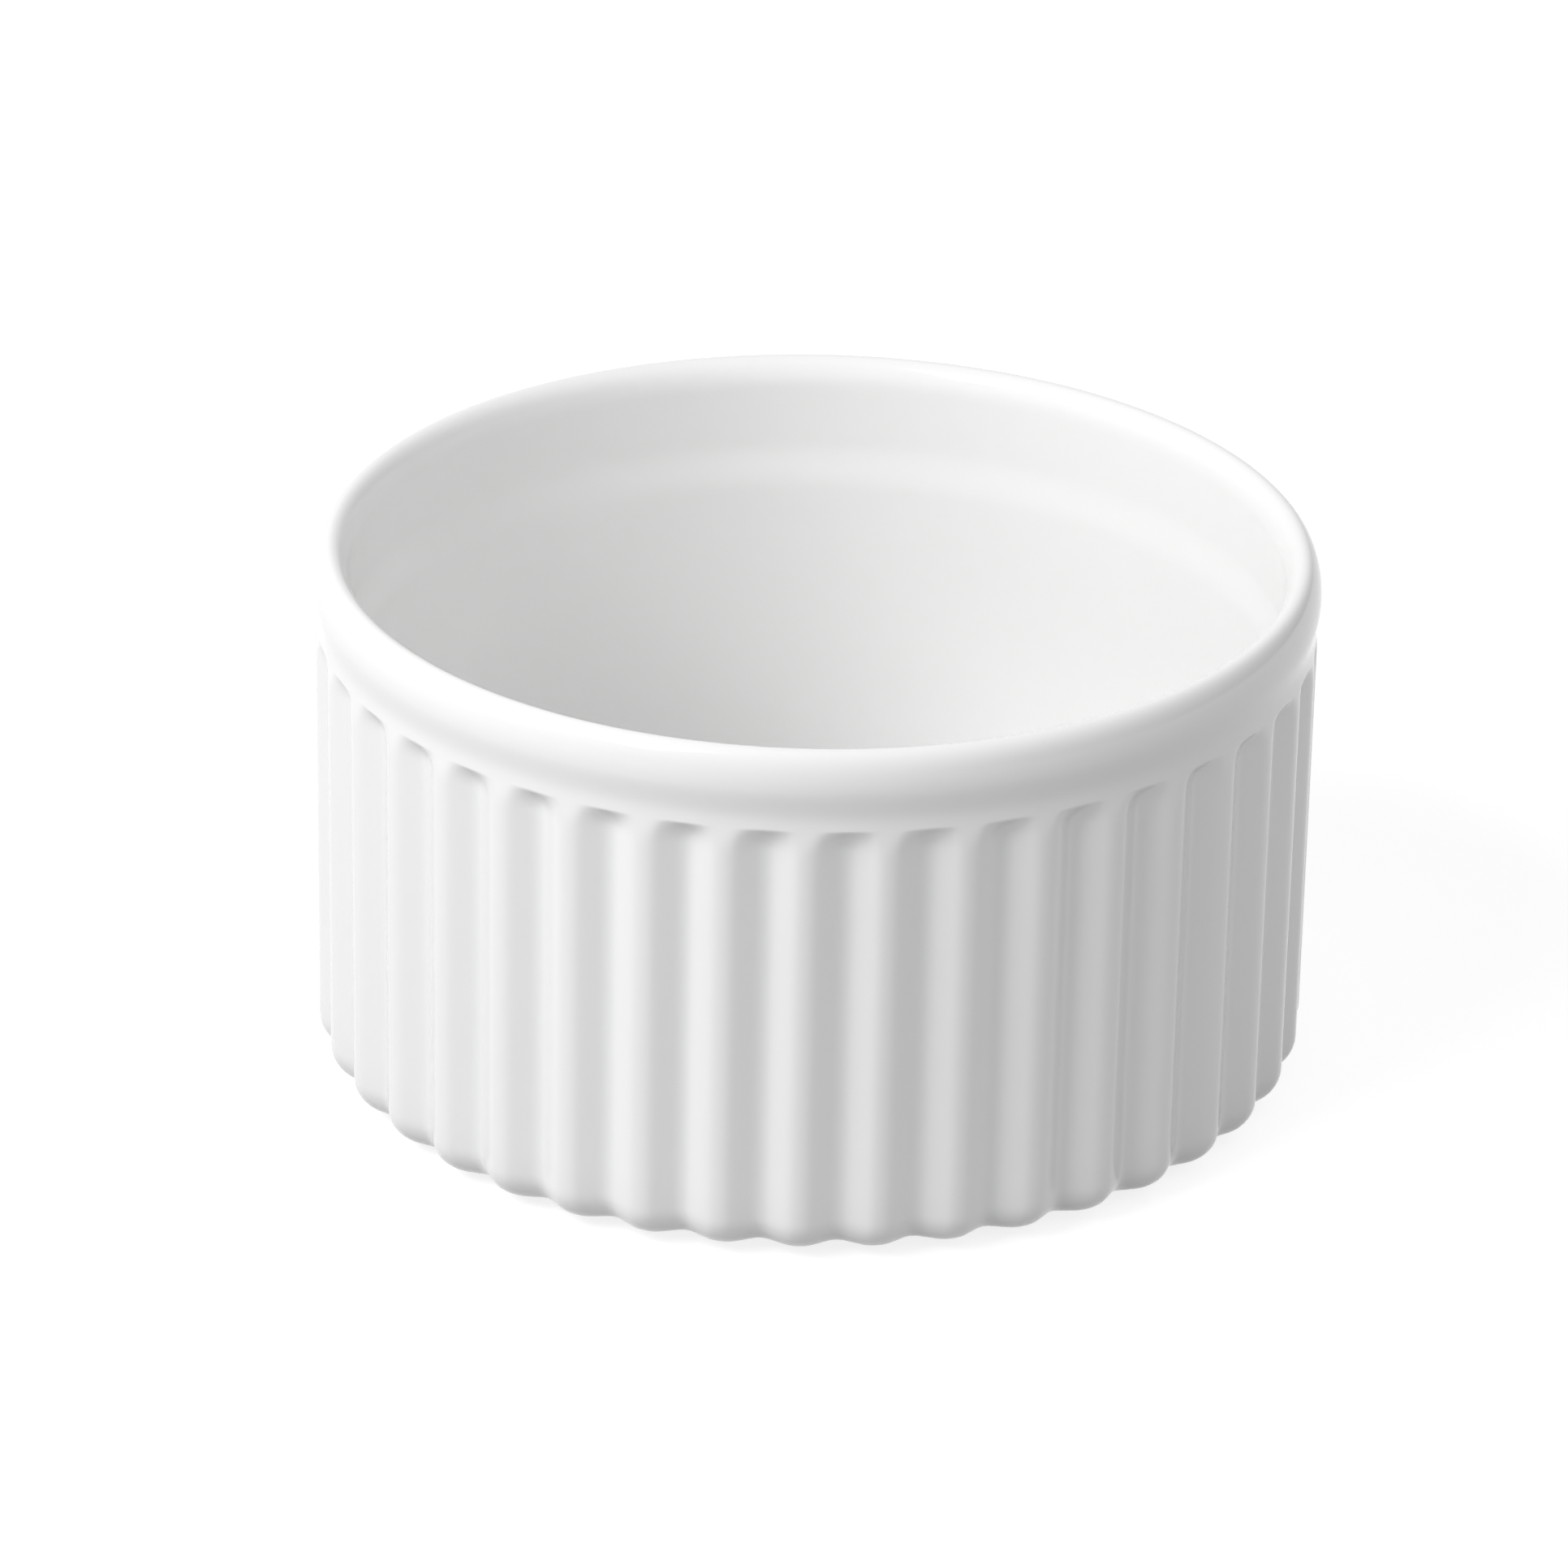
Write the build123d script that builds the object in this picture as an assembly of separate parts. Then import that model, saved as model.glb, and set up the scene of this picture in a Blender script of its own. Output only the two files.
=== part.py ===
"""Fluted porcelain ramekin: a round baking dish with a rolled lip, a fluted wall and a foot ring.

Millimetres, +Z up. The origin is the centre of the foot ring's resting plane.
Sizes are measured on the glazed surface, and the porcelain lies one glaze thickness under it.
"""

import os
from math import cos, pi, radians, sin

from build123d import *

# Whole dish
lip_diameter = 90.0
height = 49.0
glaze_thickness = 0.3

# Rolled lip: its width, and how far its widest outer and inner lines lie under the crown
lip_width = 3.1
lip_outer_drop = 2.6
lip_inner_drop = 2.8

# Concave neck under the lip, and the band that swells out from it to meet the flutes
neck_depth = 0.5
neck_drop = 3.6
band_drop = 4.4
band_swell = 0.4

# Fluted wall: crests stand a little inside the lip, and each recess ends in a flat shoulder
flute_count = 40
flute_depth = 1.3
crest_setback = 0.05
crest_span_share = 0.28
flute_turn = -0.6
shoulder_drop = 7.1
base_round = 2.4

# Inside: a soft ledge near the top, straight walls under it and a rounded corner at the floor
wall_thickness = 2.35
ledge_drop = 10.5
ledge_height = 4.6
floor_thickness = 3.6
floor_round = 5.0

# Foot ring, bare of glaze, with a glazed recess inside it
foot_rise = 0.7
foot_setback = 5.5
foot_width = 2.4
foot_edge_round = 0.3
underside_depth = 1.2

# How far cutting shapes reach past what they cut, and a quarter turn in degrees
overrun = 5.0
quarter_turn = 90

# Radii and heights that follow from the sizes above
lip_radius = lip_diameter / 2
crown_radius = lip_radius - lip_width / 2
mouth_radius = lip_radius - lip_width
neck_radius = lip_radius - neck_depth
crest_radius = lip_radius - crest_setback
band_radius = crest_radius + band_swell
valley_radius = crest_radius - flute_depth
cavity_radius = valley_radius - wall_thickness
lip_height = height - lip_outer_drop
mouth_height = height - lip_inner_drop
neck_height = lip_height - neck_drop
band_height = neck_height - band_drop
shoulder_height = height - shoulder_drop
ledge_height_mid = height - ledge_drop
floor_height = underside_depth + floor_thickness
foot_radius = crest_radius - foot_setback
recess_radius = foot_radius - foot_width


def s_bend(start, end):
    """Two equal arcs between (radius, height) points, upright at both ends."""
    middle = ((start[0] + end[0]) / 2, (start[1] + end[1]) / 2)
    rise = end[1] - start[1]
    return [
        TangentArc(start, middle, tangent=(0, rise)),
        TangentArc(end, middle, tangent=(0, -rise)),
    ]


def quarter_ellipse(centre, half_width, half_height, start_angle):
    """A quarter of an ellipse, from start_angle on, in degrees."""
    return EllipticalCenterArc(centre, half_width, half_height, start_angle, arc_size=quarter_turn)


def turned(edges):
    """The solid that a closed half section sweeps round the dish's axis."""
    return revolve(Plane.XZ * make_face(edges), Axis.Z)


def disc(radius, low, high):
    """An upright cylinder on the dish's axis between two heights."""
    return Pos(0, 0, low) * extrude(Circle(radius), high - low)


def plain_dish(inset):
    """The dish before its flutes are cut, running on below the base, inset from the glazed surface."""
    lip = lip_radius - inset
    neck = neck_radius - inset
    band = band_radius - inset
    mouth = mouth_radius + inset
    cavity = cavity_radius + inset
    crown = height - inset
    floor = floor_height - inset
    corner = floor_round + inset
    ledge_low = ledge_height_mid - ledge_height / 2
    ledge_high = ledge_height_mid + ledge_height / 2
    outside = [
        Line((0, -overrun), (band, -overrun)),
        Line((band, -overrun), (band, band_height)),
        *s_bend((band, band_height), (neck, neck_height)),
        *s_bend((neck, neck_height), (lip, lip_height)),
        quarter_ellipse((crown_radius, lip_height), lip - crown_radius, crown - lip_height, 0),
    ]
    inside = [
        quarter_ellipse(
            (crown_radius, mouth_height), crown_radius - mouth, crown - mouth_height, quarter_turn
        ),
        Line((mouth, mouth_height), (mouth, ledge_high)),
        *s_bend((mouth, ledge_high), (cavity, ledge_low)),
        Line((cavity, ledge_low), (cavity, floor + corner)),
        TangentArc((cavity, floor + corner), (cavity - corner, floor), tangent=(0, -corner)),
        Line((cavity - corner, floor), (0, floor)),
        Line((0, floor), (0, -overrun)),
    ]
    return turned(outside + inside)


def fluted_plan(inset):
    """Plan of the flutes: an arc over each crest and a slightly tighter one in each valley."""
    crest = crest_radius - inset
    valley = valley_radius - inset
    meeting = crest - flute_depth * crest_span_share * 2
    pitch = 2 * pi / flute_count
    front = radians(flute_turn) - pi / 2
    half_share = 0.5

    def spot(radius, angle):
        return (radius * cos(angle), radius * sin(angle))

    edges = []
    for number in range(flute_count):
        centre = front + number * pitch
        before = centre - crest_span_share * pitch
        after = centre + crest_span_share * pitch
        dip = centre + half_share * pitch
        following = before + pitch
        edges.append(ThreePointArc(spot(meeting, before), spot(crest, centre), spot(meeting, after)))
        edges.append(ThreePointArc(spot(meeting, after), spot(valley, dip), spot(meeting, following)))
    return make_face(edges)


def fluted_core(inset):
    """The fluted wall as a full block with a rounded bottom edge, up to the recesses' shoulders."""
    low = foot_rise + inset
    high = shoulder_height + inset
    block = Pos(0, 0, low) * extrude(fluted_plan(inset), high - low)
    bottom_edges = block.edges().group_by(Axis.Z)[0]
    return fillet(bottom_edges, base_round - inset)


def dish(inset):
    """The fluted dish with a flat underside and no foot, inset from the glazed surface."""
    reach = lip_radius + overrun
    above = disc(reach, shoulder_height + inset, height + overrun)
    return plain_dish(inset) & (fluted_core(inset) + above)


def foot_ring():
    """The ring that the dish stands on, from the resting plane up into the base."""
    top = foot_rise + glaze_thickness
    ring = disc(foot_radius, 0, top) - disc(recess_radius, -overrun, height)
    return fillet(ring.edges().group_by(Axis.Z)[0], foot_edge_round)


def porcelain_body():
    """The fired porcelain under the glaze, with its bare foot ring."""
    recess = disc(recess_radius, -overrun, underside_depth + glaze_thickness)
    return dish(glaze_thickness) + foot_ring() - recess


def glaze_coat(body):
    """The glaze over the inside, the lip and the outside, ending where the foot ring starts."""
    bare = disc(foot_radius, -overrun, underside_depth + glaze_thickness)
    return dish(0) - bare - body


def underside_glaze():
    """The glaze inside the foot ring, cut off from the rest by the bare ring."""
    return disc(recess_radius, underside_depth, underside_depth + glaze_thickness)


def main():
    """Build the three pieces and write a STEP file for each."""
    os.makedirs("parts", exist_ok=True)
    body = porcelain_body()
    pieces = {
        "porcelain_body": body,
        "glaze_coat": glaze_coat(body),
        "underside_glaze": underside_glaze(),
    }
    for name, piece in pieces.items():
        export_step(piece, f"parts/{name}.step")


main()
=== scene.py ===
"""Fluted white porcelain ramekin: its glaze, its fired body and the studio that it is seen in.

Metres, +Z up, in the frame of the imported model. The dish's axis is the Z axis, and angles round
it are measured from -Y, the side that faces the viewer, towards +X.
"""

import logging
import math
from dataclasses import dataclass, field, replace
from enum import Enum
from typing import Any, Optional, Union

import bpy
import numpy as np
from mathutils import Matrix, Vector

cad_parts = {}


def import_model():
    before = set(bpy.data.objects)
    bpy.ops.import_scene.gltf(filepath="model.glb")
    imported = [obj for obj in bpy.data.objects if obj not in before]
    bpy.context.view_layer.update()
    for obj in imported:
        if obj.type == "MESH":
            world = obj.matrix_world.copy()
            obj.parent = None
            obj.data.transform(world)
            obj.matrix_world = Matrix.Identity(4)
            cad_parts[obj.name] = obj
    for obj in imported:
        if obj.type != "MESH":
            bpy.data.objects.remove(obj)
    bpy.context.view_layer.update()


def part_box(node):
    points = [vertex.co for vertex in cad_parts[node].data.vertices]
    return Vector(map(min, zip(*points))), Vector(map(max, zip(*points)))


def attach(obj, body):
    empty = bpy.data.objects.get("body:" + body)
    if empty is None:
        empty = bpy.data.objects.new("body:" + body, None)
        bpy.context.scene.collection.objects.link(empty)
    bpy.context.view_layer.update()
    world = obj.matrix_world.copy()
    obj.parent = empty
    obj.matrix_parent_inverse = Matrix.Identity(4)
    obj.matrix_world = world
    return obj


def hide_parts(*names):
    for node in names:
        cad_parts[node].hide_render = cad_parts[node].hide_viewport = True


LOG = logging.getLogger("ramekin")
MM = 0.001
BODY = "root"
PHOTO_PIXELS = 1932
FULL_TURN = 2 * math.pi
QUARTER_TURN = math.pi / 2
HALF_PITCH = 0.5
NOISE_MIDDLE = 0.5

Number = Union[int, float]
Colour = tuple[float, float, float]
Ring = tuple[np.ndarray, np.ndarray]


class Node(str, Enum):
    """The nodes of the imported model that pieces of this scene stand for."""

    GLAZE = "glaze_coat"
    BODY = "porcelain_body"
    UNDERSIDE = "underside_glaze"


class Slot(str, Enum):
    """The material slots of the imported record."""

    GLAZE = "glaze"
    PORCELAIN = "porcelain"


# Shader maths


class Signal:
    """A node's output that can stand in a Python expression, where each operator adds a node."""

    def __init__(self, graph: "Graph", socket: bpy.types.NodeSocket) -> None:
        """Wrap a socket.

        Args:
            graph: The graph that the socket's node is in.
            socket: The output socket.
        """
        self.graph = graph
        self.socket = socket

    def _maths(self, operation: str, first: "Operand", second: "Operand") -> "Signal":
        """Add a Math node.

        Args:
            operation: The Math node's operation.
            first: Its first value.
            second: Its second value.

        Returns:
            The node's result.
        """
        return self.graph.node("ShaderNodeMath", {"operation": operation}, {0: first, 1: second})

    def __add__(self, other: "Operand") -> "Signal":
        """This value plus another."""
        return self._maths("ADD", self, other)

    def __radd__(self, other: "Operand") -> "Signal":
        """Another value plus this one."""
        return self._maths("ADD", other, self)

    def __sub__(self, other: "Operand") -> "Signal":
        """This value less another."""
        return self._maths("SUBTRACT", self, other)

    def __rsub__(self, other: "Operand") -> "Signal":
        """Another value less this one."""
        return self._maths("SUBTRACT", other, self)

    def __mul__(self, other: "Operand") -> "Signal":
        """This value times another."""
        return self._maths("MULTIPLY", self, other)

    def __rmul__(self, other: "Operand") -> "Signal":
        """Another value times this one."""
        return self._maths("MULTIPLY", other, self)

    def __neg__(self) -> "Signal":
        """This value with its sign changed."""
        return self._maths("MULTIPLY", self, -1.0)

    def at_most(self, other: "Operand") -> "Signal":
        """The lower of this value and another."""
        return self._maths("MINIMUM", self, other)

    def at_least(self, other: "Operand") -> "Signal":
        """The higher of this value and another."""
        return self._maths("MAXIMUM", self, other)

    def folded(self, reach: Number) -> "Signal":
        """This value bounced between zero and a reach."""
        return self._maths("PINGPONG", self, reach)

    def eased(self, low: Number, high: Number) -> "Signal":
        """Fade smoothly from 0 to 1 as this value passes between two levels.

        Args:
            low: The level up to which the result is 0.
            high: The level from which the result is 1.

        Returns:
            The faded value.
        """
        return self.graph.node(
            "ShaderNodeMapRange",
            {"interpolation_type": "SMOOTHSTEP"},
            {"Value": self, "From Min": low, "From Max": high},
        )


Operand = Union[Signal, Number]
SocketValue = Union[Signal, Number, tuple[float, ...]]


class Graph:
    """The node tree of one material or world, emptied when it is wrapped."""

    def __init__(self, tree: bpy.types.NodeTree) -> None:
        """Empty a node tree and take it over.

        Args:
            tree: The tree to fill.
        """
        tree.nodes.clear()
        self.tree = tree

    def node(
        self,
        kind: str,
        settings: Optional[dict[str, Any]] = None,
        inputs: Optional[dict[Union[int, str], SocketValue]] = None,
        output: Union[int, str] = 0,
    ) -> Signal:
        """Add a node: its settings come first, then its sockets' values and links.

        Args:
            kind: The node's type.
            settings: Values of the node's own properties.
            inputs: A value or a signal for each named or numbered input.
            output: The output to hand back.

        Returns:
            The chosen output.
        """
        made = self.tree.nodes.new(kind)
        for name, value in (settings or {}).items():
            setattr(made, name, value)
        for name, value in (inputs or {}).items():
            if isinstance(value, Signal):
                self.tree.links.new(value.socket, made.inputs[name])
            else:
                made.inputs[name].default_value = value
        return Signal(self, made.outputs[output])

    def finish(self, shader: Signal, target: str = "ShaderNodeOutputMaterial") -> None:
        """Lead a shader to the tree's output.

        Args:
            shader: The shader that the surface shows.
            target: The output node's type.
        """
        end = self.tree.nodes.new(target)
        self.tree.links.new(shader.socket, end.inputs["Surface"])

    def place(self, axis: Optional[str] = None) -> Signal:
        """A point's place on the object, or one coordinate of it.

        Args:
            axis: "X", "Y" or "Z", or nothing for all three together.

        Returns:
            The place, in metres.
        """
        whole = self.node("ShaderNodeTexCoord", output="Object")
        if axis is None:
            return whole
        return self.node("ShaderNodeSeparateXYZ", inputs={0: whole}, output=axis)

    def noise(self, grain: Number, detail: Number = 2.0, roughness: Number = 0.5) -> Signal:
        """Even noise through the solid.

        Args:
            grain: The size of one lump, in metres.
            detail: How many finer layers are added.
            roughness: How strong the finer layers are.

        Returns:
            The noise, about 0.5.
        """
        return self.node(
            "ShaderNodeTexNoise",
            {"noise_dimensions": "3D"},
            {"Vector": self.place(), "Scale": 1 / grain, "Detail": detail, "Roughness": roughness},
        )

    def blend(self, share: Signal, first: Colour, second: Colour) -> Signal:
        """Mix two colours.

        Args:
            share: How much of the second colour shows, 0 to 1.
            first: The colour at 0.
            second: The colour at 1.

        Returns:
            The mixed colour.
        """
        return self.node(
            "ShaderNodeMix",
            {"data_type": "RGBA"},
            {"Factor": share, 6: (*first, 1.0), 7: (*second, 1.0)},
            output=2,
        )

    def bump(self, height: Signal, depth: Number, under: Optional[Signal] = None) -> Signal:
        """Relief too fine for the mesh.

        Args:
            height: The relief, 0 to 1.
            depth: The height of the relief, in metres.
            under: A coarser relief to lay this one on.

        Returns:
            The bent normal.
        """
        inputs: dict[Union[int, str], SocketValue] = {"Height": height, "Distance": depth}
        if under is not None:
            inputs["Normal"] = under
        return self.node("ShaderNodeBump", inputs=inputs)


# Form of the dish


def ease(share: Union[float, np.ndarray]) -> np.ndarray:
    """A smooth step from 0 to 1 that is level at both ends.

    Args:
        share: How far along the step, cut off at 0 and 1.

    Returns:
        The eased share.
    """
    held = np.clip(share, 0.0, 1.0)
    return held * held * (3.0 - 2.0 * held)


@dataclass(frozen=True)
class Fluting:
    """Section of the flutes: arcs over the crests and in the valleys, joined by straight flanks."""

    count: int = 40
    depth: float = 1.3 * MM
    turn: float = math.radians(-0.6)
    crest_share: float = 0.18
    valley_share: float = 0.13
    columns_each: int = 20

    def angles(self) -> np.ndarray:
        """The angles of the mesh columns, in step with the flutes."""
        number = self.count * self.columns_each
        return self.turn + np.arange(number) * FULL_TURN / number

    def offset(self, angles: np.ndarray) -> np.ndarray:
        """How far each angle is from the nearest crest, in flute pitches from 0 to 0.5."""
        turns = (angles - self.turn) * self.count / FULL_TURN
        return np.abs(turns - np.round(turns))

    def fall(self, angles: np.ndarray) -> np.ndarray:
        """How far the section has fallen, from 0 on a crest to 1 in a valley.

        Args:
            angles: Angles round the dish.

        Returns:
            The share of the flutes' depth at each angle.
        """
        offset = self.offset(angles)
        flank_share = HALF_PITCH - self.crest_share - self.valley_share
        on_crest = np.minimum(offset, self.crest_share) ** 2 / (2 * self.crest_share)
        on_flank = np.clip(offset - self.crest_share, 0.0, flank_share)
        past = np.clip(offset - HALF_PITCH + self.valley_share, 0.0, self.valley_share)
        in_valley = past - past**2 / (2 * self.valley_share)
        whole = self.crest_share / 2 + flank_share + self.valley_share / 2
        return (on_crest + on_flank + in_valley) / whole


@dataclass(frozen=True)
class DishForm:
    """The glazed surface of the dish, given as rings of points from the foot to the floor.

    Each method takes an inset, which is how far under the glazed surface its rings lie.
    """

    lip_radius: float
    height: float
    foot_rise: float
    foot_radius: float
    floor_height: float
    fluting: Fluting = field(default_factory=Fluting)
    lip_width: float = 3.15 * MM
    lip_outer_drop: float = 3.3 * MM
    lip_inner_drop: float = 2.8 * MM
    neck_depth: float = 0.35 * MM
    neck_drop: float = 2.9 * MM
    band_drop: float = 3.6 * MM
    crest_setback: float = 0.05 * MM
    shoulder_drop: float = 7.05 * MM
    shoulder_arch: float = 1.0 * MM
    shoulder_corner: int = 12
    shoulder_round: float = 2.6 * MM
    shoulder_onset: float = 0.12
    shoulder_power: int = 3
    shoulder_softness: float = 0.12 * MM
    base_round: float = 3.5 * MM
    wall_thickness: float = 2.35 * MM
    ledge_drop: float = 10.5 * MM
    ledge_height: float = 4.6 * MM
    floor_round: float = 5.0 * MM
    floor_rings: tuple[float, ...] = (30.0 * MM, 20.0 * MM, 10.0 * MM, 2.0 * MM)

    @property
    def crest_radius(self) -> float:
        """Radius over the crests of the flutes."""
        return self.lip_radius - self.crest_setback

    @property
    def crown_radius(self) -> float:
        """Radius of the lip's highest line."""
        return self.lip_radius - self.lip_width / 2

    @property
    def cavity_radius(self) -> float:
        """Radius of the inside under the ledge."""
        return self.crest_radius - self.fluting.depth - self.wall_thickness

    @property
    def lip_height(self) -> float:
        """Height of the lip's widest line."""
        return self.height - self.lip_outer_drop

    def plain_radius(self, heights: np.ndarray) -> np.ndarray:
        """Radius of the outside before its flutes are cut.

        Args:
            heights: Heights up to the lip's widest line.

        Returns:
            The radius at each height: the crests' own, drawn in at the neck, out again at the lip.
        """
        neck_height = self.lip_height - self.neck_drop
        neck_radius = self.lip_radius - self.neck_depth
        below = ease((heights - neck_height + self.band_drop) / self.band_drop)
        above = ease((heights - neck_height) / self.neck_drop)
        under_neck = self.crest_radius + (neck_radius - self.crest_radius) * below
        return under_neck + (self.lip_radius - neck_radius) * above

    def wall_radius(self, angles: np.ndarray, heights: np.ndarray) -> np.ndarray:
        """Radius of the fluted wall, with the recesses closed off by their rounded shoulders.

        Args:
            angles: Angles round the dish.
            heights: Heights from the foot's rounding up to the lip's widest line.

        Returns:
            A radius for each height and angle.
        """
        plain = self.plain_radius(heights)[:, None]
        core = self.crest_radius - self.fluting.depth * self.fluting.fall(angles)[None, :]
        proud = plain - core
        cut = (proud + np.sqrt(proud**2 + self.shoulder_softness**2)) / 2
        from_valley = 1.0 - 2.0 * self.fluting.offset(angles)
        tops = self.height - self.shoulder_drop - self.shoulder_arch * from_valley**self.shoulder_corner
        under = np.clip((tops[None, :] - heights[:, None]) / self.shoulder_round, 0.0, 1.0)
        opened = under**2 * (1.0 + self.shoulder_onset) / (under + self.shoulder_onset)
        return plain - cut * (1.0 - (1.0 - opened) ** self.shoulder_power)

    def foot_rings(self, angles: np.ndarray, inset: float) -> list[Ring]:
        """The flat underside outside the foot and the rounded bottom edge of the wall.

        Args:
            angles: Angles round the dish.
            inset: How far under the glazed surface the rings lie.

        Returns:
            Rings from the foot outwards and up to the wall.
        """
        steps_flat, steps_round = 4, 11
        low = self.foot_rise + inset
        bend = self.base_round - inset
        wall = self.wall_radius(angles, np.array([self.foot_rise + self.base_round]))[0] - inset
        rings = []
        for share in np.linspace(0.0, 1.0, steps_flat, endpoint=False):
            reach = self.foot_radius + share * (wall - bend - self.foot_radius)
            rings.append((reach, np.full_like(angles, low)))
        for turn in np.linspace(0.0, QUARTER_TURN, steps_round):
            rise = low + bend * (1.0 - math.cos(turn))
            rings.append((wall - bend * (1.0 - math.sin(turn)), np.full_like(angles, rise)))
        return rings

    def wall_rings(self, angles: np.ndarray, inset: float) -> list[Ring]:
        """The fluted wall, the neck and the lip's outside, up to its widest line.

        Args:
            angles: Angles round the dish.
            inset: How far under the glazed surface the rings lie.

        Returns:
            Rings from the bottom up, close together where the recesses end.
        """
        shoulder = self.height - self.shoulder_drop
        reach_down, reach_up = self.shoulder_arch + self.shoulder_round, 0.2 * MM
        start = self.foot_rise + self.base_round
        fine, end = shoulder - reach_down, shoulder + reach_up
        steps_wall, steps_shoulder, steps_neck = 14, 44, 18
        heights = np.concatenate(
            [
                np.linspace(start, fine, steps_wall)[1:],
                np.linspace(fine, end, steps_shoulder)[1:],
                np.linspace(end, self.lip_height, steps_neck)[1:],
            ]
        )
        radii = self.wall_radius(angles, heights) - inset
        return [(radius, np.full_like(angles, z)) for radius, z in zip(radii, heights)]

    def lip_rings(self, angles: np.ndarray, inset: float) -> list[Ring]:
        """The lip's rolled top, from its widest line over the crown to the mouth.

        Args:
            angles: Angles round the dish.
            inset: How far under the glazed surface the rings lie.

        Returns:
            Rings over the lip.
        """
        steps = 14
        half_width = self.lip_width / 2 - inset
        rings = []
        for turn in np.linspace(0.0, QUARTER_TURN, steps)[1:]:
            reach = self.crown_radius + half_width * math.cos(turn)
            rise = self.lip_height + (self.lip_outer_drop - inset) * math.sin(turn)
            rings.append((np.full_like(angles, reach), np.full_like(angles, rise)))
        for turn in np.linspace(0.0, QUARTER_TURN, steps)[1:]:
            reach = self.crown_radius - half_width * math.sin(turn)
            drop = self.lip_inner_drop - (self.lip_inner_drop - inset) * math.cos(turn)
            rings.append((np.full_like(angles, reach), np.full_like(angles, self.height - drop)))
        return rings

    def bowl_rings(self, angles: np.ndarray, inset: float) -> list[Ring]:
        """The inside: the soft ledge, the wall under it, the rounded corner and the floor.

        Args:
            angles: Angles round the dish.
            inset: How far under the glazed surface the rings lie.

        Returns:
            Rings from the mouth down and in over the floor.
        """
        steps_ledge, steps_wall, steps_corner = 15, 6, 12
        mouth = self.lip_radius - self.lip_width + inset
        cavity = self.cavity_radius + inset
        ledge_low = self.height - self.ledge_drop - self.ledge_height / 2
        ledge_high = ledge_low + self.ledge_height
        corner_top = self.floor_height + self.floor_round
        profile = []
        for z in np.linspace(ledge_high, ledge_low, steps_ledge):
            step = (mouth - cavity) * float(ease((z - ledge_low) / self.ledge_height))
            profile.append((cavity + step, z))
        for z in np.linspace(ledge_low, corner_top, steps_wall)[1:]:
            profile.append((cavity, z))
        bend = self.floor_round + inset
        for turn in np.linspace(0.0, QUARTER_TURN, steps_corner)[1:]:
            rise = corner_top - bend * math.sin(turn)
            profile.append((cavity - bend * (1.0 - math.cos(turn)), rise))
        profile += [(reach, self.floor_height - inset) for reach in self.floor_rings]
        return [(np.full_like(angles, reach), np.full_like(angles, z)) for reach, z in profile]

    def rings(self, angles: np.ndarray, inset: float) -> list[Ring]:
        """The whole surface as rings.

        Args:
            angles: Angles round the dish.
            inset: How far under the glazed surface the rings lie.

        Returns:
            Rings from the foot out, up the wall, over the lip and down to the floor's middle.
        """
        return (
            self.foot_rings(angles, inset)
            + self.wall_rings(angles, inset)
            + self.lip_rings(angles, inset)
            + self.bowl_rings(angles, inset)
        )


@dataclass(frozen=True)
class RingSkin:
    """A closed mesh through a chain of rings, with a point on the axis at each end."""

    name: str
    angles: np.ndarray
    rings: list[Ring]
    first_height: float
    last_height: float

    def points(self) -> np.ndarray:
        """The points of the mesh: the rings in order, then the two on the axis.

        Returns:
            One row of three coordinates for each point.
        """
        radii = np.stack([radius for radius, _ in self.rings])
        heights = np.stack([height for _, height in self.rings])
        grid = np.stack([radii * np.sin(self.angles), -radii * np.cos(self.angles), heights], axis=-1)
        poles = np.array([[0.0, 0.0, self.first_height], [0.0, 0.0, self.last_height]])
        return np.concatenate([grid.reshape(-1, 3), poles])

    def faces(self) -> list[tuple[int, ...]]:
        """The faces of the mesh: four-sided between rings, three-sided round each axis point.

        Returns:
            The numbers of the points round each face.
        """
        across = len(self.angles)
        here = np.arange(across)
        after = (here + 1) % across
        faces: list[tuple[int, ...]] = []
        for row in range(len(self.rings) - 1):
            low, high = row * across, (row + 1) * across
            faces += zip(low + here, low + after, high + after, high + here)
        first, last = len(self.rings) * across, len(self.rings) * across + 1
        end = (len(self.rings) - 1) * across
        faces += zip(after, here, np.full(across, first))
        faces += zip(end + here, end + after, np.full(across, last))
        return [tuple(int(number) for number in face) for face in faces]

    def build(self) -> bpy.types.Object:
        """Make the object and link it to the scene.

        Returns:
            The new object, smoothly shaded, with its faces looking outwards.
        """
        mesh = bpy.data.meshes.new(self.name)
        mesh.from_pydata(self.points().tolist(), [], self.faces())
        mesh.validate()
        mesh.shade_smooth()
        made = bpy.data.objects.new(self.name, mesh)
        bpy.context.scene.collection.objects.link(made)
        return made


# Finishes


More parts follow.
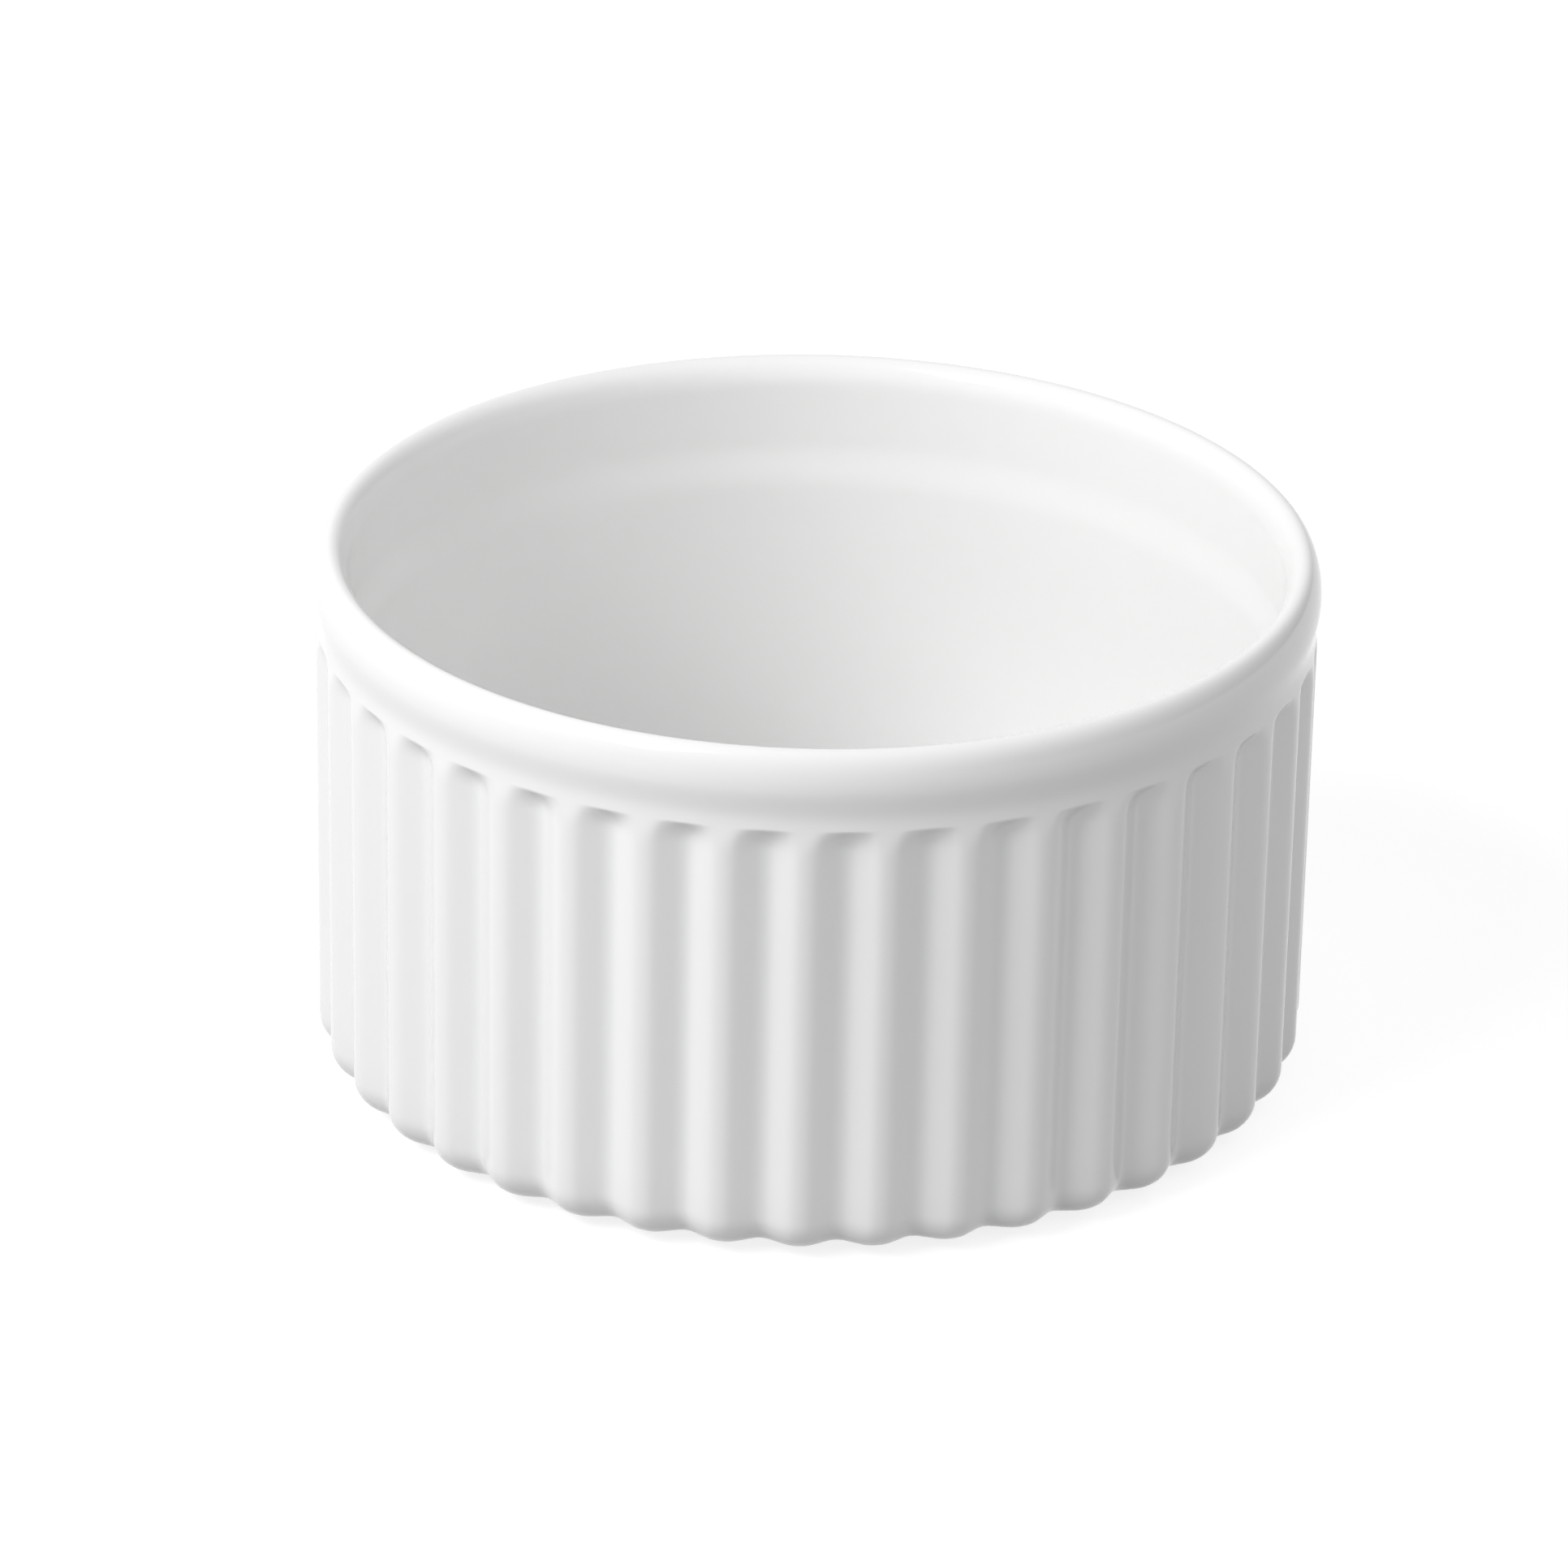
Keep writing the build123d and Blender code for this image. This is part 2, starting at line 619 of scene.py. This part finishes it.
@dataclass(frozen=True)
class GlazeFinish:
    """Glossy white glaze, thicker and a shade cooler where it pools in the recesses."""

    name: str = "white_glaze"
    colour: Colour = (0.880, 0.880, 0.877)
    pooled: Colour = (0.855, 0.859, 0.859)
    gloss_roughness: float = 0.12
    roughness_spread: float = 0.05
    refraction: float = 1.5
    ripple_grain: float = 7.0 * MM
    ripple_depth: float = 0.02 * MM
    peel_grain: float = 0.9 * MM
    peel_depth: float = 0.0012 * MM
    relief_detail: float = 1.0
    pool_from: float = 0.3
    corner_share: float = 0.5
    fade: float = 1.0 * MM

    def pooling(self, graph: Graph, form: DishForm) -> Signal:
        """Where the glaze ran together before it set: along the valleys and round the floor.

        Args:
            graph: The graph to add to.
            form: The dish that the glaze lies on.

        Returns:
            The share of pooled glaze, 0 to 1.
        """
        right, back, height = (graph.place(axis) for axis in "XYZ")
        angle = graph.node("ShaderNodeMath", {"operation": "ARCTAN2"}, {0: right, 1: -back})
        flat = self.flat_place(graph)
        radius = graph.node("ShaderNodeVectorMath", {"operation": "LENGTH"}, {0: flat}, "Value")
        pitches = (angle - form.fluting.turn) * (form.fluting.count / FULL_TURN)
        in_valley = pitches.folded(HALF_PITCH).eased(self.pool_from, HALF_PITCH)
        shoulder = form.height - form.shoulder_drop
        under_shoulder = 1 - height.eased(shoulder - form.shoulder_round, shoulder)
        outside = radius.eased(form.cavity_radius + self.fade, form.cavity_radius + 2 * self.fade)
        corner = form.floor_height + form.floor_round
        in_corner = (1 - height.eased(form.floor_height + self.fade, corner)) * (1 - outside)
        return (in_valley * under_shoulder * outside + in_corner * self.corner_share).at_most(1.0)

    def flat_place(self, graph: Graph) -> Signal:
        """A point's place with its height left out."""
        return graph.node(
            "ShaderNodeCombineXYZ", inputs={"X": graph.place("X"), "Y": graph.place("Y")}, output="Vector"
        )

    def material(self, form: DishForm) -> bpy.types.Material:
        """Make the material.

        Args:
            form: The dish that the glaze lies on.

        Returns:
            The glaze.
        """
        made = bpy.data.materials.new(self.name)
        made.use_nodes = True
        graph = Graph(made.node_tree)
        ripple = graph.bump(graph.noise(self.ripple_grain, self.relief_detail), self.ripple_depth)
        relief = graph.bump(graph.noise(self.peel_grain, self.relief_detail), self.peel_depth, ripple)
        cloud = graph.noise(self.ripple_grain) - NOISE_MIDDLE
        graph.finish(
            graph.node(
                "ShaderNodeBsdfPrincipled",
                inputs={
                    "Base Color": graph.blend(self.pooling(graph, form), self.colour, self.pooled),
                    "Roughness": cloud * self.roughness_spread + self.gloss_roughness,
                    "IOR": self.refraction,
                    "Normal": relief,
                },
            )
        )
        return made


@dataclass(frozen=True)
class BiscuitFinish:
    """Bare fired porcelain: matt, finely grained, and greyed where it rubs on a shelf."""

    name: str = "bare_porcelain"
    colour: Colour = (0.74, 0.715, 0.675)
    rubbed: Colour = (0.60, 0.58, 0.55)
    roughness: float = 0.78
    rubbed_drop: float = 0.2
    grain: float = 0.35 * MM
    grain_depth: float = 0.02 * MM
    patch: float = 6.0 * MM
    patch_span: tuple[float, float] = (0.42, 0.62)
    grain_roughness: float = 0.7
    noise_detail: float = 3.0
    worn_height: float = 0.15 * MM
    worn_share: float = 0.6
    speckle_share: float = 0.15

    def material(self) -> bpy.types.Material:
        """Make the material.

        Returns:
            The bare porcelain.
        """
        made = bpy.data.materials.new(self.name)
        made.use_nodes = True
        graph = Graph(made.node_tree)
        low = 1 - graph.place("Z").eased(0.0, self.worn_height)
        worn = low * graph.noise(self.patch, self.noise_detail).eased(*self.patch_span)
        speckle = graph.noise(self.grain, self.noise_detail, self.grain_roughness)
        greyed = worn * self.worn_share + speckle * self.speckle_share
        graph.finish(
            graph.node(
                "ShaderNodeBsdfPrincipled",
                inputs={
                    "Base Color": graph.blend(greyed, self.colour, self.rubbed),
                    "Roughness": self.roughness - worn * self.rubbed_drop,
                    "Normal": graph.bump(speckle, self.grain_depth),
                },
            )
        )
        return made


# Pieces


@dataclass(frozen=True)
class Ramekin:
    """The dish: the glaze coat, the porcelain under it and the glaze inside its foot ring."""

    form: DishForm
    foot_inner_radius: float
    underside_depth: float
    glaze_thickness: float = 0.3 * MM
    clearance: float = 0.01 * MM
    foot_edge_round: float = 0.3 * MM
    meniscus: float = 0.35 * MM
    body_columns_each: int = 8
    patch_rings: tuple[float, ...] = (0.25, 0.5, 0.75, 0.95)
    glaze_finish: GlazeFinish = field(default_factory=GlazeFinish)
    biscuit_finish: BiscuitFinish = field(default_factory=BiscuitFinish)

    def level(self, angles: np.ndarray, radius: float, height: float) -> Ring:
        """A round, level ring at one radius and height."""
        return np.full_like(angles, radius), np.full_like(angles, height)

    def coarse_angles(self) -> np.ndarray:
        """The angles of the mesh columns of the pieces under the glaze."""
        return replace(self.form.fluting, columns_each=self.body_columns_each).angles()

    def glaze_coat(self) -> bpy.types.Object:
        """The glaze over the outside, the lip and the inside, rounded off where the foot is bare.

        Returns:
            The glaze coat.
        """
        angles = self.form.fluting.angles()
        shown = self.form.rings(angles, 0.0)
        hidden = self.form.rings(angles, self.glaze_thickness)
        half = self.glaze_thickness / 2
        middle = self.form.foot_rise + half
        steps = 5
        rolled = []
        for turn in np.linspace(0.0, math.pi, steps)[1:-1]:
            reach = self.form.foot_radius + half * (1.0 - math.sin(turn))
            rolled.append(self.level(angles, reach, middle + half * math.cos(turn)))
        inner = [(hidden[0][0] + half, hidden[0][1])] + hidden[1:]
        outer = [(shown[0][0] + half, shown[0][1])] + shown[1:]
        top = self.form.floor_height
        chain = inner[::-1] + rolled + outer
        name = Node.GLAZE.value + "_skin"
        return RingSkin(name, angles, chain, top - self.glaze_thickness, top).build()

    def porcelain(self) -> bpy.types.Object:
        """The fired body under the glaze, down to the bare ring that it stands on.

        Returns:
            The porcelain body.
        """
        angles = self.coarse_angles()
        inset = self.glaze_thickness + self.clearance
        outer, inner = self.form.foot_radius, self.foot_inner_radius
        bend, steps = self.foot_edge_round, 6
        recess = self.underside_depth + self.glaze_thickness
        ring = [self.level(angles, inner / 2, recess), self.level(angles, inner, recess)]
        for turn in np.linspace(0.0, QUARTER_TURN, steps):
            reach = inner + bend * (1.0 - math.cos(turn))
            ring.append(self.level(angles, reach, bend * (1.0 - math.sin(turn))))
        for turn in np.linspace(0.0, QUARTER_TURN, steps):
            reach = outer - bend * (1.0 - math.sin(turn))
            ring.append(self.level(angles, reach, bend * (1.0 - math.cos(turn))))
        ring.append(self.level(angles, outer, self.form.foot_rise + inset))
        chain = ring + self.form.rings(angles, inset)[1:]
        top = self.form.floor_height - inset
        return RingSkin(Node.BODY.value + "_fired", angles, chain, recess, top).build()

    def underside_glaze(self) -> bpy.types.Object:
        """The glaze inside the foot ring, drawn a little way down the ring's wall at its edge.

        Returns:
            The glaze patch.
        """
        angles = self.coarse_angles()
        edge = self.foot_inner_radius - self.clearance
        low, steps = self.underside_depth, 8
        high = low + self.glaze_thickness - self.clearance
        chain = [self.level(angles, edge * share, low) for share in self.patch_rings]
        for turn in np.linspace(0.0, QUARTER_TURN, steps):
            reach = edge - self.meniscus * (1.0 - math.sin(turn))
            chain.append(self.level(angles, reach, low - self.meniscus * (1.0 - math.cos(turn))))
        chain += [self.level(angles, edge, high), self.level(angles, edge / 2, high)]
        return RingSkin(Node.UNDERSIDE.value + "_skin", angles, chain, low, high).build()

    def dress(self, piece: bpy.types.Object, finish: bpy.types.Material, node: Node) -> None:
        """Give a piece its finish and tie it to the frame.

        Args:
            piece: The piece.
            finish: Its material.
            node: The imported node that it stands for.
        """
        piece.data.materials.append(finish)
        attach(piece, BODY)
        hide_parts(node.value)
        LOG.info("%s: %d faces", piece.name, len(piece.data.polygons))

    def build(self) -> None:
        """Build and dress the three pieces."""
        glaze = self.glaze_finish.material(self.form)
        biscuit = self.biscuit_finish.material()
        self.dress(self.glaze_coat(), glaze, Node.GLAZE)
        self.dress(self.porcelain(), biscuit, Node.BODY)
        self.dress(self.underside_glaze(), glaze, Node.UNDERSIDE)


# Studio


@dataclass(frozen=True)
class SoftLamp:
    """A rectangular lamp that faces the dish, with its sizes in metres and its power in watts."""

    name: str
    side: float
    rise: float
    width: float
    height: float
    power: float
    distance: float = 1.0

    def build(self) -> None:
        """Stand the lamp in the scene, turned to the dish and unseen by the camera."""
        light = bpy.data.lights.new(self.name, "AREA")
        light.shape = "RECTANGLE"
        light.size, light.size_y = self.width, self.height
        light.energy = self.power
        made = bpy.data.objects.new(self.name, light)
        level = math.cos(self.rise)
        towards = Vector(
            (math.sin(self.side) * level, -math.cos(self.side) * level, math.sin(self.rise))
        )
        made.location = towards * self.distance
        made.rotation_mode = "QUATERNION"
        made.rotation_quaternion = towards.to_track_quat("Z", "Y")
        made.visible_camera = False
        bpy.context.scene.collection.objects.link(made)
        LOG.info("%s: %.0f degrees to the side", self.name, math.degrees(self.side))


KEY_LAMP = SoftLamp(
    name="key_lamp",
    side=math.radians(-60.0),
    rise=math.radians(45.0),
    width=0.7,
    height=0.45,
    power=7.6,
)


@dataclass(frozen=True)
class Studio:
    """White table in bright surroundings, with one large soft lamp on the left."""

    floor_reach: float = 6.0
    floor_colour: Colour = (0.35, 0.35, 0.35)
    floor_lift: float = 0.8
    side_level: float = 0.95
    ceiling_left: float = 0.05
    ceiling_right: float = 1.2
    ceiling_edge: float = 0.9
    ceiling_span: tuple[float, float] = (-0.3, 0.9)
    card_depth: float = 0.7
    card_span: tuple[float, float] = (0.2, 0.8)
    lamps: tuple[SoftLamp, ...] = (KEY_LAMP,)

    def ray(self, graph: Graph, *kinds: str) -> Signal:
        """1 for rays of any of these kinds, else 0.

        Args:
            graph: The graph to add to.
            kinds: The names of the kinds, as the Light Path node has them.

        Returns:
            The highest of the kinds' own signals.
        """
        total = graph.node("ShaderNodeLightPath", output=kinds[0])
        for kind in kinds[1:]:
            total = total.at_least(graph.node("ShaderNodeLightPath", output=kind))
        return total

    def floor(self) -> None:
        """Lay the table top: white to the eye, and shaded where the dish keeps light off it."""
        reach = self.floor_reach
        mesh = bpy.data.meshes.new("studio_floor")
        corners = [(-reach, -reach, 0), (reach, -reach, 0), (reach, reach, 0), (-reach, reach, 0)]
        mesh.from_pydata(corners, [], [(0, 1, 2, 3)])
        finish = bpy.data.materials.new("white_table")
        finish.use_nodes = True
        graph = Graph(finish.node_tree)
        seen = self.ray(graph, "Is Camera Ray", "Is Glossy Ray", "Is Transmission Ray")
        lift = (self.floor_lift, self.floor_lift, self.floor_lift)
        graph.finish(
            graph.node(
                "ShaderNodeBsdfPrincipled",
                inputs={
                    "Base Color": (*self.floor_colour, 1.0),
                    "Roughness": 1.0,
                    "Specular IOR Level": 0.0,
                    "Emission Color": graph.blend(seen, (0.0, 0.0, 0.0), lift),
                    "Emission Strength": 1.0,
                },
            )
        )
        mesh.materials.append(finish)
        made = bpy.data.objects.new("studio_floor", mesh)
        bpy.context.scene.collection.objects.link(made)

    def surroundings(self) -> None:
        """Fill in the lamp's shadows from the sides and the right, with a dark card low on the right."""
        world = bpy.data.worlds.new("white_studio")
        world.use_nodes = True
        graph = Graph(world.node_tree)
        towards = graph.node("ShaderNodeTexCoord", output="Generated")
        right = graph.node("ShaderNodeSeparateXYZ", inputs={0: towards}, output="X")
        height = graph.node("ShaderNodeSeparateXYZ", inputs={0: towards}, output="Z")
        up = height.eased(0.0, self.ceiling_edge)
        card = right.eased(*self.card_span) * (1 - up) * self.card_depth
        across = right.eased(*self.ceiling_span)
        ceiling = across * (self.ceiling_right - self.ceiling_left) + self.ceiling_left
        soft = self.side_level + up * (ceiling - self.side_level)
        mirrored = self.ray(graph, "Is Glossy Ray", "Is Transmission Ray")
        shaded = (soft + (1 - soft) * mirrored) * (1 - card)
        level = shaded.at_least(self.ray(graph, "Is Camera Ray"))
        sky = graph.node("ShaderNodeBackground", inputs={"Color": level, "Strength": 1.0})
        graph.finish(sky, "ShaderNodeOutputWorld")
        bpy.context.scene.world = world

    def build(self) -> None:
        """Set up the floor, the surroundings and the lamps."""
        self.floor()
        self.surroundings()
        for lamp in self.lamps:
            lamp.build()


@dataclass(frozen=True)
class Viewpoint:
    """The camera: far off with a long lens, looking down on the dish from the front."""

    distance: float = 691.7 * MM
    rise: float = 0.4473
    target_height: float = 24.85 * MM
    yaw: float = 0.0038
    pitch: float = 0.0001
    roll: float = -0.0207
    focal_pixels: float = 9418.5
    sensor: float = 36.0
    clip_near: float = 0.01
    clip_far: float = 50.0

    def build(self) -> None:
        """Place the camera and make it the scene's own."""
        forward = Vector((0.0, math.cos(self.rise), -math.sin(self.rise)))
        right = Vector((1.0, 0.0, 0.0))
        up = right.cross(forward)
        aim = Matrix.Rotation(self.yaw, 3, up) @ Matrix.Rotation(self.pitch, 3, right)
        forward, right, up = aim @ forward, aim @ right, aim @ up
        tilt = Matrix.Rotation(self.roll, 3, forward)
        right, up = tilt @ right, tilt @ up
        lens = bpy.data.cameras.new("viewpoint")
        lens.sensor_width = self.sensor
        lens.lens = self.focal_pixels / PHOTO_PIXELS * self.sensor
        lens.clip_start, lens.clip_end = self.clip_near, self.clip_far
        made = bpy.data.objects.new("viewpoint", lens)
        turn = Matrix((right, up, -forward)).transposed()
        back = Vector((0.0, -math.cos(self.rise), math.sin(self.rise))) * self.distance
        place = back + Vector((0.0, 0.0, self.target_height))
        made.matrix_world = Matrix.Translation(place) @ turn.to_4x4()
        bpy.context.scene.collection.objects.link(made)
        bpy.context.scene.camera = made
        bpy.context.scene.view_settings.view_transform = "Standard"
        LOG.info("viewpoint: %.0f mm lens", lens.lens)


def measured_dish() -> Ramekin:
    """Take the dish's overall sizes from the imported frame.

    Returns:
        The dish, with its outer sizes as the frame gives them.
    """
    foot_width, floor_thickness = 2.4 * MM, 3.6 * MM
    coat_low, coat_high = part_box(Node.GLAZE.value)
    patch_low, patch_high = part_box(Node.UNDERSIDE.value)
    form = DishForm(
        lip_radius=(coat_high[0] - coat_low[0]) / 2,
        height=coat_high[2],
        foot_rise=coat_low[2],
        foot_radius=patch_high[0] + foot_width,
        floor_height=patch_low[2] + floor_thickness,
    )
    return Ramekin(form, foot_inner_radius=patch_high[0], underside_depth=patch_low[2])


def main() -> None:
    """Build the dish, the studio and the viewpoint."""
    logging.basicConfig(level=logging.INFO, format="%(name)s %(message)s")
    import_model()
    measured_dish().build()
    Studio().build()
    Viewpoint().build()


if __name__ == "__main__":
    main()
